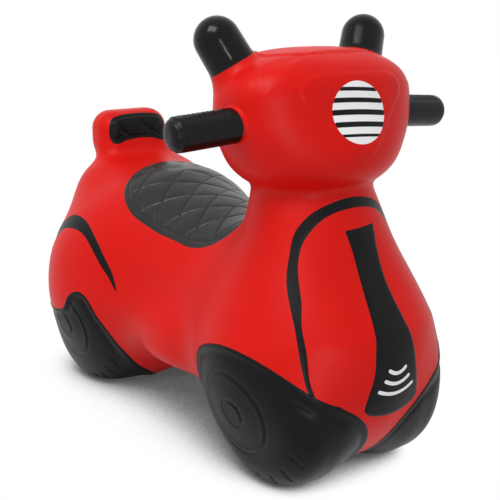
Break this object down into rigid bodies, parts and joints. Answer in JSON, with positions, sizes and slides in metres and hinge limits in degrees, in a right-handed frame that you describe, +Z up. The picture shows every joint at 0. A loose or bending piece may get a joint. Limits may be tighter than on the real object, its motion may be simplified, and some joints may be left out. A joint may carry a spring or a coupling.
{
  "type": "inflatable hop scooter",
  "caption": "Inflatable vinyl bouncing toy shaped like a motor scooter, ridden astride: saddle seat, back rest, two hand grips, soft wheels, pull-out air plug.",
  "frame": {"origin": "on the floor under the middle of the toy", "axes": "+Z up, -Y towards the front (headlamp), +X towards the rider's left"},
  "size_m": [0.3644, 0.5818, 0.4771],
  "materials": {
    "red_vinyl": "satin red vinyl",
    "black_vinyl": "satin black vinyl",
    "gloss_black_vinyl": "glossy black vinyl",
    "seat_vinyl": "satin dark grey vinyl, quilted",
    "white_vinyl": "white print on vinyl"
  },
  "bodies": {
    "toy": {"bladder_skin": "red_vinyl", "seat_pad": "seat_vinyl", "tail_pad": "black_vinyl", "front_wheel_left": "black_vinyl", "front_wheel_right": "black_vinyl", "rear_wheel_left": "black_vinyl", "rear_wheel_right": "black_vinyl", "grip_left": "black_vinyl", "grip_right": "black_vinyl", "mirror_horn_left": "gloss_black_vinyl", "mirror_horn_right": "gloss_black_vinyl", "headlamp_disc": "white_vinyl", "headlamp_bar_1": "black_vinyl", "headlamp_bar_2": "black_vinyl", "headlamp_bar_3": "black_vinyl", "headlamp_bar_4": "black_vinyl", "headlamp_bar_5": "black_vinyl", "front_panel": "black_vinyl", "panel_chevron_1": "white_vinyl", "panel_chevron_2": "white_vinyl", "panel_chevron_3": "white_vinyl", "shield_stripe": "black_vinyl", "rear_stripe_left": "black_vinyl", "rear_stripe_right": "black_vinyl"},
    "plug": {"air_plug": "black_vinyl"}
  },
  "joints": [
    {"name": "air_plug_pull", "type": "slide", "parent": "toy", "child": "plug", "axis": [0, 0, -1], "range_m": [0, 0.02]}
  ]
}
